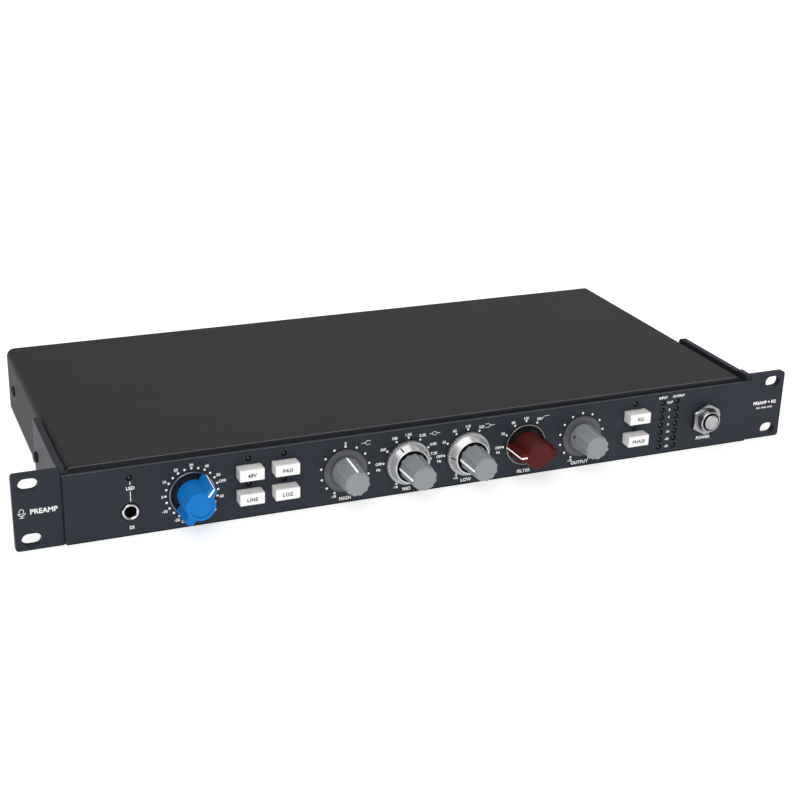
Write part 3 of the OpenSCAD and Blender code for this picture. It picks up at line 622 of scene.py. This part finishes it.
def make_fluted_knob(name, body, node, ring=None):
    """A fluted knob; its flutes fade towards the base and its mark runs along the top. Where its foot
    sits in the recess of a ring, the foot is painted black: painted shade of the recess."""
    lo, hi = mm_box(node)
    front, base = lo.y, hi.y
    length = base - front

    def radius(y):
        return KNOB_FRONT_R + (KNOB_BASE_R - KNOB_FRONT_R) * (y - front) / length

    def flute(angle, r, y):
        if r < KNOB_FRONT_R - 1.2:
            return 0
        fade = min(1, max(0, (base - 2.2 - y) / 3.2))
        fade = fade * fade * (3 - 2 * fade)
        across = (angle * FLUTES / (2 * math.pi)) % 1 - 0.5
        return -0.52 * fade * max(0, 1 - (across / 0.40) ** 2)

    edge = [(radius(base) - 0.01, base), (radius(front), front), (0, front)]
    edge = fillet(edge, 0.45, closed=False, count=4)
    side = [(radius(base - k * 0.45), base - k * 0.45) for k in range(1, 16)]
    side = [p for p in side if p[1] > edge[1][1] + 0.3]
    profile = [(0, front + 4), (SHAFT_R, front + 4), (SHAFT_R, base), (radius(base) - 0.35, base),
               (radius(base), base - 0.3)] + side + edge[1:-1] + [(KNOB_FRONT_R - 1.3, front), (0, front)]
    shell = lathe(profile, steps=FLUTES * 18, ripple=flute)
    hole = Matrix.Translation((0, base - 3.4, -6)) @ Matrix.Rotation(math.radians(90), 4, "X")
    drill = lathe([(0, -6), (1.15, -6), (1.15, 6), (0, 6)], steps=24)
    bmesh.ops.transform(drill, matrix=hole, verts=drill.verts)
    shell = carved(shell, drill)
    mark_start = mm_box(ring)[0].y - 0.1 if ring else base - 0.35
    # The foot inside a ring's recess takes the screw's black: painted shade of the recess.
    for face in shell.faces:
        if ring and face.calc_center_median().y > mark_start:
            face.material_index = 2
    screw = plate([circle(0, 0, 1.1, 24), circle(0, 0, 0.55, 6)], 0, 2, 0.08)
    bmesh.ops.transform(screw, matrix=Matrix.Translation((0, base - 3.4, -7.6)) @
                        Matrix.Rotation(math.radians(90), 4, "X"), verts=screw.verts)
    path = [(mark_start, radius(mark_start) + 0.03), (front + 0.45, radius(front + 0.45) + 0.03),
            (front + 0.1, radius(front) - 0.07)]
    mark = ribbon(path, MARK_W, 0.25)
    whole = combined((shell, None), (mark, 1), (screw, 2))
    pivot = PIVOT[body]
    piece(name, moved(whole, pivot.x, 0, pivot.z, REST[body]), body,
          ["knob_grey", "mark_white", "screw_black"], [node], smooth=28)


WING_W, WING_BODY_R = 4.8, 8.2
WING_REACH = 12.0
WING_MARK_W = 0.95
WING_DRAFT = 0.07     # how much wider the knob is at its base than at its front


def wing_outline():
    half = WING_W / 2
    join = math.degrees(math.asin(half / WING_BODY_R))
    z = WING_BODY_R * math.cos(math.radians(join))
    right = arc(0, 0, WING_BODY_R, 90 - join, -90 + join, 28)[1:-1]
    left = arc(0, 0, WING_BODY_R, 270 - join, 90 + join, 28)[1:-1]
    points = [(-half, WING_REACH), (half, WING_REACH), (half, z)] + right
    points += [(half, -z), (half, -WING_REACH), (-half, -WING_REACH), (-half, -z)] + left + [(-half, z)]
    radii = [0.7, 0.7, 0.35] + [0] * len(right) + [0.35, 1.1, 1.1, 0.35] + [0] * len(left) + [0.35]
    return fillet(points, radii, count=4)


def make_winged_knob(name, body, node, colour, dished):
    """A knob with a pointing wing at the top and a grooved tail wing."""
    lo, hi = mm_box(node)
    front, base = lo.y, hi.y
    shell = plate([wing_outline()], front, base, 0.45, 3)
    if dished:
        dish_cut = [(0, front - 1), (6.75, front - 1), (6.4, front + 0.9), (0, front + 0.9)]
        dish = lathe(fillet(dish_cut, [0, 0, 0.2, 0], closed=False, count=4))
    else:
        ring_cut = [(7.62, front - 1), (7.95, front - 1), (7.95, front + 0.16), (7.62, front + 0.16)]
        dish = lathe(ring_cut, closed=True)
    shell = carved(shell, dish)
    for x in (-0.85, 0.85):
        groove = block((x - 0.27, front - 1, -WING_REACH - 1), (x + 0.27, front + 0.4, -WING_BODY_R - 0.35))
        shell = carved(shell, groove)
    bore = lathe([(0, front + 4), (SHAFT_R, front + 4), (SHAFT_R, base + 1), (0, base + 1)], steps=48)
    shell = carved(shell, bore)
    for v in shell.verts:
        grow = 1 + WING_DRAFT * (v.co.y - front) / (base - front)
        v.co.x *= grow
        v.co.z *= grow
    tip = WING_REACH + 0.03
    path = [(front - 0.03, 6.7 if dished else 8.1), (front - 0.03, tip - 0.5), (front + 0.1, tip - 0.16),
            (front + 0.42, tip), (base - 0.1, tip * (1 + WING_DRAFT))]
    mark = ribbon(path, WING_MARK_W, 0.25)
    whole = combined((shell, 0), (mark, 1))
    pivot = PIVOT[body]
    piece(name, moved(whole, pivot.x, 0, pivot.z, REST[body]), body, [colour, "mark_white"], [node],
          smooth=30)


def make_skirt(name, body, node, bright_rim):
    """The disc under a knob: a lipped grey one, or a black dished one with a bright rim."""
    lo, hi = mm_box(node)
    front, back = lo.y, hi.y
    r = 13.0
    if bright_rim:
        dish = [(SHAFT_R, back), (r - 0.95, back), (r - 0.95, front + 0.3), (r - 2.6, front + 0.85),
                (r - 3.3, front + 0.85), (r - 3.6, front + 0.3), (r - 4.0, front + 0.3),
                (SHAFT_R, front + 0.3)]
        rim = [(r - 0.95, back), (r - 0.25, back), (r, front + 0.8), (r, front + 0.4), (r - 0.3, front),
               (r - 0.75, front), (r - 0.95, front + 0.2)]
        rim = fillet(rim, [0, 0, 0.1, 0.15, 0.15, 0.1, 0])
        parts = [(lathe(dish, closed=True), 0), (lathe(rim, closed=True), 1)]
        slots = ["skirt_black", "skirt_rim"]
    else:
        disc = [(SHAFT_R, back), (r - 0.2, back), (r, back - 0.2), (r, front + 0.35), (r - 0.3, front),
                (r - 0.7, front), (r - 1.0, front + 0.25), (9.9, front + 0.25), (9.5, front + 0.55),
                (SHAFT_R, front + 0.55)]
        disc = fillet(disc, [0, 0, 0.1, 0.15, 0.15, 0.15, 0.1, 0.1, 0, 0], count=3)
        parts = [(lathe(disc, closed=True), 0)]
        slots = ["skirt_grey"]
    pivot = PIVOT[body]
    piece(name, moved(combined(*parts), pivot.x, 0, pivot.z), body, slots, [node])


KNURLS = 60
KNURL_DEPTH = 0.75
KNURL_TOP = 0.3       # share of a tooth that is flat on top


def make_frequency_ring(name, body, node):
    """The knurled band, the bright cone and the sleeve of a frequency ring."""
    lo, hi = mm_box(node)
    front, back = lo.y, hi.y
    band_back, band_front = -0.8, -3.5
    r, cone_r, rim_r, hole_r, sleeve_r = 13.5, 12.15, 10.3, 9.6, 4.1

    def knurl(angle, radius, y):
        if radius < cone_r + 0.2:
            return 0
        tooth = abs((angle * KNURLS / (2 * math.pi)) % 1 - 0.5) * 2
        return -KNURL_DEPTH * max(0, tooth - KNURL_TOP) / (1 - KNURL_TOP)

    band = [(cone_r - 0.6, band_back), (r - 0.2, band_back), (r, band_back - 0.25), (r, band_front + 0.45),
            (r - 0.35, band_front + 0.1), (cone_r, band_front), (cone_r - 0.6, band_front)]
    cone = [(SHAFT_R, back), (sleeve_r, back), (sleeve_r, band_back), (cone_r - 0.6, band_back),
            (cone_r - 0.6, band_front), (cone_r, band_front - 0.05), (cone_r, band_front - 0.45),
            (rim_r, front + 0.1), (rim_r - 0.3, front), (hole_r, front + 0.2), (hole_r, -2.5),
            (SHAFT_R, -2.5)]
    radii = [0, 0, 0, 0, 0, 0.1, 0.12, 0.15, 0.15, 0, 0, 0]
    teeth = lathe(band, steps=KNURLS * 8, closed=True, ripple=knurl)
    # Faces in the valleys between the teeth are painted near-black: painted shade.
    for face in teeth.faces:
        middle_point = face.calc_center_median()
        across = (math.atan2(middle_point.x, middle_point.z) * KNURLS / (2 * math.pi)) % 1
        if abs(across - 0.5) > 0.34 and middle_point.xz.length > cone_r + 0.1:
            face.material_index = 1
    whole = carved(teeth, screw_drill())
    turned = lathe(fillet(cone, radii, count=3), steps=128, closed=True)
    # Faces of the recess round the knob are painted near-black: painted shade.
    for face in turned.faces:
        in_recess = face.calc_center_median().xz.length < hole_r + 0.02
        face.material_index = 1 if in_recess else 2
    lift = 0.02
    mark = ribbon([(band_front - 0.55, cone_r + lift), (front + 0.2, rim_r + lift)], 0.9, 0.2)
    tick = ribbon([(band_back - 0.3, r), (band_front + 0.5, r)], 0.7, 0.5)
    pivot = PIVOT[body]
    parts = combined((whole, None), (turned, None), (mark, 3), (tick, 3))
    piece(name, moved(parts, pivot.x, 0, pivot.z, REST[body]), body,
          ["knurl_metal", "ring_painted_shade", "ring_metal", "ink_dark"], [node], smooth=25)


def screw_drill():
    """Cutter for the grub screw hole in the band, a little to one side of the mark."""
    drill = lathe([(0, -3), (0.75, -3), (0.75, 3), (0, 3)], steps=20)
    place = (Matrix.Rotation(math.radians(-15), 4, "Y") @ Matrix.Translation((0, -2.2, 13.6)) @
             Matrix.Rotation(math.radians(90), 4, "X"))
    bmesh.ops.transform(drill, matrix=place, verts=drill.verts)
    return drill


# ---- buttons, lights, jack and power switch ----------------------------------------------------

def make_button(node, text):
    """A cap with soft edges, its plunger and its printed name."""
    lo, hi = mm_box(node)
    x, z = (lo.x + hi.x) / 2, (lo.z + hi.z) / 2
    cap = block((x - CAP_W / 2, lo.y, z - CAP_H / 2), (x + CAP_W / 2, 1, z + CAP_H / 2), 0.5, 4)
    plunger = block((x - 1.9, 0.9, z - 1.9), (x + 1.9, hi.y, z + 1.9), 0.2)
    name = word(text, x, z - 0.2, 2.15, y=lo.y, weight=0.09, spacing=1.08)
    body = "push_" + node.split("_")[1]
    piece("cap_" + node.split("_")[1], combined((cap, 0), (plunger, 0), (name, 1)), body,
          ["button_white", "ink_dark"], [node], smooth=40)


def light(x, z, back):
    """A round light with its dome just behind the panel's face."""
    centre = LED_R + 0.1
    dome = [(LED_R * math.sin(math.radians(a)), centre - LED_R * math.cos(math.radians(a)))
            for a in range(0, 91, 15)]
    return moved(lathe(dome + [(LED_R, back), (0, back)], steps=24), x, 0, z)


def make_lights():
    back = mm_box("status_leds")[1].y
    parts = [(light(x, z, back), 0) for x, z in status_places()]
    piece("status_lights", combined(*parts), "root", ["led_clear"], ["status_leds"], smooth=50)
    parts = []
    for k, (x, z) in enumerate(meter_places()):
        parts.append((light(x, z, back), 0 if k % 7 > 4 else 1))
    piece("meter_lights", combined(*parts), "root", ["led_red", "led_green"], ["meter_leds"],
          smooth=50)


def make_jack():
    """The instrument jack: a bright bushing, its dark bore and the body behind the panel."""
    lo, hi = mm_box("di_jack")
    front, bore, r = lo.y, 3.2, 4.8
    ring = [(bore, 3.5), (bore, front + 0.7), (bore + 0.45, front + 0.25), (r - 0.5, front),
            (r, front + 0.6), (r, 4.2), (r - 0.6, 4.2), (r - 0.6, 3.5)]
    ring = fillet(ring, [0, 0.1, 0.15, 0.15, 0.15, 0, 0, 0], count=3)
    bushing = moved(lathe(ring, closed=True), JACK.x, 0, JACK.z)
    sleeve = [(0, 24), (bore, 24), (bore, 3.5), (r - 0.7, 3.5), (r - 0.7, 25), (0, 25)]
    tube = moved(lathe(sleeve), JACK.x, 0, JACK.z)
    case = block((JACK.x - 8, 3.4, JACK.z - 8), (JACK.x + 8, hi.y, JACK.z + 8), 0.4)
    room = moved(lathe([(0, 0), (r - 0.65, 0), (r - 0.65, 25.2), (0, 25.2)], steps=48), JACK.x, 0, JACK.z)
    case = carved(case, room)
    piece("jack_bushing", combined((bushing, 0), (tube, 1), (case, 2)), "root",
          ["jack_metal", "hole_black", "plastic_black"], ["di_jack"])


def make_power_switch():
    lo, hi = mm_box("power_switch_nut")
    front, back = lo.y, hi.y
    r = (hi.z - lo.z) / 2
    hexagon = plate([circle(0, 0, r, 6), circle(0, 0, 7.92, 64)], front, back, 0.12)
    hexagon = moved(hexagon, turn=90)
    cone = lathe([(0, back + 1), (r + 1.4, back + 1), (r + 1.4, front + 2.2), (r - 1.1, front - 0.02),
                  (0, front - 0.02)])
    nut = carved(hexagon, cone, "INTERSECT")
    piece("power_nut", moved(nut, POWER.x, 0, POWER.z), "root", ["nut_chrome"],
          ["power_switch_nut"], smooth=25)

    lo, hi = mm_box("power_switch")
    bezel, r, front_r, inner = lo.y, 7.9, 6.8, 5.6
    mouth = bezel + 2.2
    ring = [(inner, mouth), (inner, bezel + 0.4), (inner + 0.3, bezel), (front_r - 0.35, bezel),
            (front_r, bezel + 0.35), (r - 0.3, front - 0.6), (r, front - 0.2), (r, 20),
            (6.5, 20), (6.5, hi.y), (1.5, hi.y), (1.5, 8), (4.85, 8), (4.85, mouth)]
    barrel = lathe(fillet(ring, [0, 0.1, 0.1, 0.15, 0.2, 0.15, 0.1] + [0] * 7, count=3), closed=True)
    liner = [(4.86, mouth + 0.05), (inner - 0.02, mouth + 0.05), (inner - 0.02, mouth - 0.8),
             (4.86, mouth - 0.8)]
    liner = lathe(fillet(liner, [0, 0, 0.15, 0.15]), closed=True)
    whole = combined((barrel, 0), (liner, 1))
    piece("power_bezel", moved(whole, POWER.x, 0, POWER.z), "root",
          ["nut_chrome", "plastic_black"], ["power_switch"])

    lo, hi = mm_box("power_button")
    front, r = lo.y, 4.7
    cap = [(0, hi.y), (r, hi.y), (r, front + 0.4), (r - 0.45, front), (r - 0.9, front + 0.1),
           (0, front + 0.75)]
    button = lathe(fillet(cap, [0, 0, 0.2, 0.25, 0.2, 0], closed=False, count=4))
    piece("power_cap", moved(button, POWER.x, 0, POWER.z), "power", ["steel_bright"],
          ["power_button"])


# ---- legends -----------------------------------------------------------------------------------

def shelf_symbol(x, z, mirror):
    """A line that splits into an upper and a lower one."""
    s = -1 if mirror else 1
    w = 0.32
    return [line([(x - s * 3.0, z), (x - s * 0.8, z)], w),
            line([(x - s * 0.9, z), (x, z + 0.45), (x + s * 0.7, z + 1.1), (x + s * 3.0, z + 1.1)], w),
            line([(x - s * 0.9, z), (x, z - 0.45), (x + s * 0.7, z - 1.1), (x + s * 3.0, z - 1.1)], w)]


def bell_symbol(x, z):
    w = 0.32
    return [line([(x - 3.4, z), (x - 1.5, z)], w), line([(x + 1.5, z), (x + 3.4, z)], w),
            line([(x - 1.5, z), (x - 0.8, z + 1.0), (x + 0.8, z + 1.0), (x + 1.5, z)], w),
            line([(x - 1.5, z), (x - 0.8, z - 1.0), (x + 0.8, z - 1.0), (x + 1.5, z)], w)]


def make_legends():
    around = [-154, -131, -106, -80, -54, -27, 0, 27, 54, 80, 106, 131, 154]
    parts = []
    gain_marks = {0: "30", -30: "20", -60: "10", -90: "0", -120: "-10", -150: "-20", -165: "OFF",
                  30: "40", 60: "50", 75: "OFF", 105: "60", 135: "70", 165: "80"}
    parts += scale(PIVOT["gain"].x, range(-165, 166, 15), gain_marks)
    parts += scale(PIVOT["high"].x, around, {0: "0"})
    parts += scale(PIVOT["output"].x, around, {})
    mid_marks = {-88: "OFF", -58: "360", -28: "700", 2: "1.6K", 32: "3.2K", 62: "4.8K"}
    parts += scale(PIVOT["mid_gain"].x, list(mid_marks) + [92, -154, 154], mid_marks)
    parts.append(word("7.2K", PIVOT["mid_gain"].x + DOT_R + 2.2, CONTROL_Z + 2.6, 1.7, weight=0.07))
    low_marks = {-90: "OFF", -60: "35", -30: "60", 0: "110", 30: "220"}
    parts += scale(PIVOT["low_gain"].x, list(low_marks) + [-154, 154], low_marks)
    filter_marks = {-90: "OFF", -60: "50", -30: "80", 0: "160", 30: "300"}
    parts += scale(PIVOT["filter"].x, list(filter_marks), filter_marks)
    for body in ("high", "mid_gain", "low_gain", "output"):
        for angle, sign in ((-154, "-"), (154, "+")):
            x, z = polar(PIVOT[body].x, CONTROL_Z, DOT_R, angle)
            parts.append(word(sign + "18", x + (0.6 if angle > 0 else -0.5), z - 2.1, 1.6, weight=0.07))
    for body in ("mid_gain", "low_gain", "filter"):
        parts.append(word("Hz", PIVOT[body].x - DOT_R - 3.0, CONTROL_Z - 2.9, 1.6, weight=0.07))
    names = {"high": "HIGH", "mid_gain": "MID", "low_gain": "LOW", "filter": "FILTER", "output": "OUTPUT"}
    for body, text in names.items():
        parts.append(word(text, PIVOT[body].x, 3.1, 2.05, weight=0.1, spacing=1.08))
    parts.append(word("POWER", POWER.x + 0.6, 7.1, 2.05, weight=0.1, spacing=1.08))
    parts.append(word("DI", JACK.x + 0.4, 5.1, 1.9, weight=0.1))
    parts.append(word("LED", JACK.x + 0.4, 28.4, 1.9, weight=0.1, spacing=1.08))
    parts.append(line([(JACK.x + 0.3, 32.4), (JACK.x + 0.3, 30.3)], 0.42))
    parts.append(line([(JACK.x + 0.3, 26.6), (JACK.x + 0.3, 20.6)], 0.42))
    parts += shelf_symbol(PIVOT["high"].x + 12.2, 35.6, False)
    parts += bell_symbol(PIVOT["mid_gain"].x + 16.8, 35.6)
    parts += shelf_symbol(PIVOT["low_gain"].x + 14.0, 35.8, True)
    x = PIVOT["filter"].x + 12.6
    parts.append(line([(x - 2.6, 34.9), (x - 1.2, 36.4), (x - 0.6, 36.9), (x + 2.4, 36.9)], 0.32))
    meter = meter_places()
    left, right = meter[0][0], meter[7][0]
    for k, text in enumerate(("-30", "-20", "-10", "0", "4", "8", "CLIP")):
        parts.append(word(text, (left + right) / 2, meter[k][1], 1.5, weight=0.07))
    parts.append(word("INPUT", left, 37.7, 1.55, weight=0.08))
    parts.append(word("OUTPUT", right + 0.8, 37.7, 1.55, weight=0.08))
    piece("panel_print", combined(*[(p, 0) for p in parts]), "root", ["ink_white"])


def make_ear_print():
    """Plain words on the ears, and a small microphone sign."""
    y = mm_box("rack_ear_left")[0].y
    parts = [word("PREAMP", -225.3, 22.4, 2.9, y=y, weight=0.12, spacing=1.02)]
    x, z = -236.9, 22.4
    head = arc(x, z + 0.9, 1.15, 0, 180, 9)
    parts.append(line(head + [(x - 1.15, z - 0.5), (x + 1.15, z - 0.5)], 0.4, y, closed=True))
    cup = arc(x, z + 0.2, 2.0, 190, 350, 8)
    parts.append(line(cup, 0.4, y))
    parts.append(line([(x, z - 1.8), (x, z - 2.9)], 0.4, y))
    parts.append(line([(x - 1.2, z - 2.9), (x + 1.2, z - 2.9)], 0.4, y))
    parts.append(word("PREAMP + EQ", 228.2, 24.1, 2.0, y=y, weight=0.13, spacing=1.05))
    parts.append(word("MIC AND LINE", 228.2, 20.9, 1.25, y=y, weight=0.05, spacing=1.1))
    piece("ear_print", combined(*[(p, 0) for p in parts]), "root", ["ink_white"])


# ---- carried-over CAD nodes --------------------------------------------------------------------

def soften(node, width=0.2, angle=35):
    """Rounds the sharp edges of a carried-over node."""
    obj = frame["nodes"][node]
    weld = obj.modifiers.new("weld", "WELD")
    weld.merge_threshold = 1e-6
    flat = obj.modifiers.new("flat", "DECIMATE")
    flat.decimate_type = "DISSOLVE"
    flat.angle_limit = math.radians(0.5)
    edge = obj.modifiers.new("edge", "BEVEL")
    edge.width = width * MM
    edge.segments = 2
    edge.limit_method = "ANGLE"
    edge.angle_limit = math.radians(angle)
    edge.harden_normals = True


def finish_nodes():
    """Rounds every CAD node that still shows and gives it the material of its slot."""
    slots = {s["node"]: s["material_slot"] for s in frame["record"]["subparts"]}
    for name, obj in frame["nodes"].items():
        if obj.hide_render:
            continue
        soften(name)
        obj.data.materials.clear()
        obj.data.materials.append(MATERIAL[slots[name]])


# ---- stage -------------------------------------------------------------------------------------

SKY = 0.2            # brightness of the room around the unit
FLOOR_GLOW = 0.6     # lifts the pale floor to white
FLOOR_SIZE = 25      # metres


def soft_sun(name, toward, strength, width):
    """A distant round softbox. toward points at it, and width is how many degrees across it looks."""
    data = bpy.data.lights.new(name, "SUN")
    data.energy = strength
    data.angle = math.radians(width)
    obj = bpy.data.objects.new(name, data)
    obj.rotation_mode = "QUATERNION"
    obj.rotation_quaternion = Vector(toward).to_track_quat("Z", "Y")
    bpy.context.scene.collection.objects.link(obj)


def make_stage():
    bm = bmesh.new()
    bmesh.ops.create_grid(bm, x_segments=8, y_segments=8, size=FLOOR_SIZE)
    mesh = bpy.data.meshes.new("floor")
    bm.to_mesh(mesh)
    bm.free()
    floor = bpy.data.objects.new("floor", mesh)
    surface("floor_white", (0.72, 0.72, 0.72), 0.9, grain=(300, 0.0), mottle=(2, 0.0), rough_spread=0.0,
            specular=0.1)
    lift("floor_white", FLOOR_GLOW)
    mesh.materials.append(MATERIAL["floor_white"])
    bpy.context.scene.collection.objects.link(floor)

    soft_sun("key", (-0.2, -0.85, 0.55), 1.6, 55)
    soft_sun("top_left", (-0.32, 0.2, 0.92), 0.95, 66)
    soft_sun("left", (-0.93, 0.3, 0.15), 0.28, 50)
    soft_sun("glint", (-0.45, -0.6, 0.65), 0.12, 3)
    soft_sun("back_right", (0.55, 0.75, 0.35), 0.4, 60)

    world = bpy.data.worlds.new("world")
    world.use_nodes = True
    back = world.node_tree.nodes["Background"]
    back.inputs["Color"].default_value = (1, 1, 1, 1)
    back.inputs["Strength"].default_value = SKY
    bpy.context.scene.world = world
    bpy.context.scene.view_settings.view_transform = "Standard"


def make_camera():
    data = bpy.data.cameras.new("camera")
    data.sensor_width = 36
    data.lens = 66.21
    data.clip_start, data.clip_end = 0.05, 30
    camera = bpy.data.objects.new("camera", data)
    camera.location = Vector((-326.7, -709.76, 366.78)) * MM + SHIFT
    forward = Vector((0.36382, 0.85462, -0.37050))
    roll = Matrix.Rotation(math.radians(1.55), 4, "Z").to_quaternion()
    camera.rotation_mode = "QUATERNION"
    camera.rotation_quaternion = forward.to_track_quat("-Z", "Y") @ roll
    bpy.context.scene.collection.objects.link(camera)
    bpy.context.scene.camera = camera


make_camera()
make_stage()
make_paints()
make_plastics()
make_metals()

make_front_panel()
make_cover()
for ear_side in (-1, 1):
    make_ear(ear_side)

make_winged_knob("gain_grip", "gain", "gain_knob", "knob_blue", True)
make_winged_knob("filter_grip", "filter", "filter_knob", "knob_red", False)
for control, ring_node in (("high", None), ("mid_gain", "mid_frequency_ring"),
                           ("low_gain", "low_frequency_ring"), ("output", None)):
    make_fluted_knob(control + "_grip", control, control + "_knob", ring_node)
for control in ("gain", "filter", "high", "output"):
    make_skirt(control + "_disc", control, control + "_skirt", control in ("gain", "filter"))
for control in ("mid_frequency", "low_frequency"):
    make_frequency_ring(control + "_band", control, control + "_ring")

for cad_node, label in CAP_TEXT.items():
    make_button(cad_node, label)
make_lights()
make_jack()
make_power_switch()
make_legends()
make_ear_print()
finish_nodes()
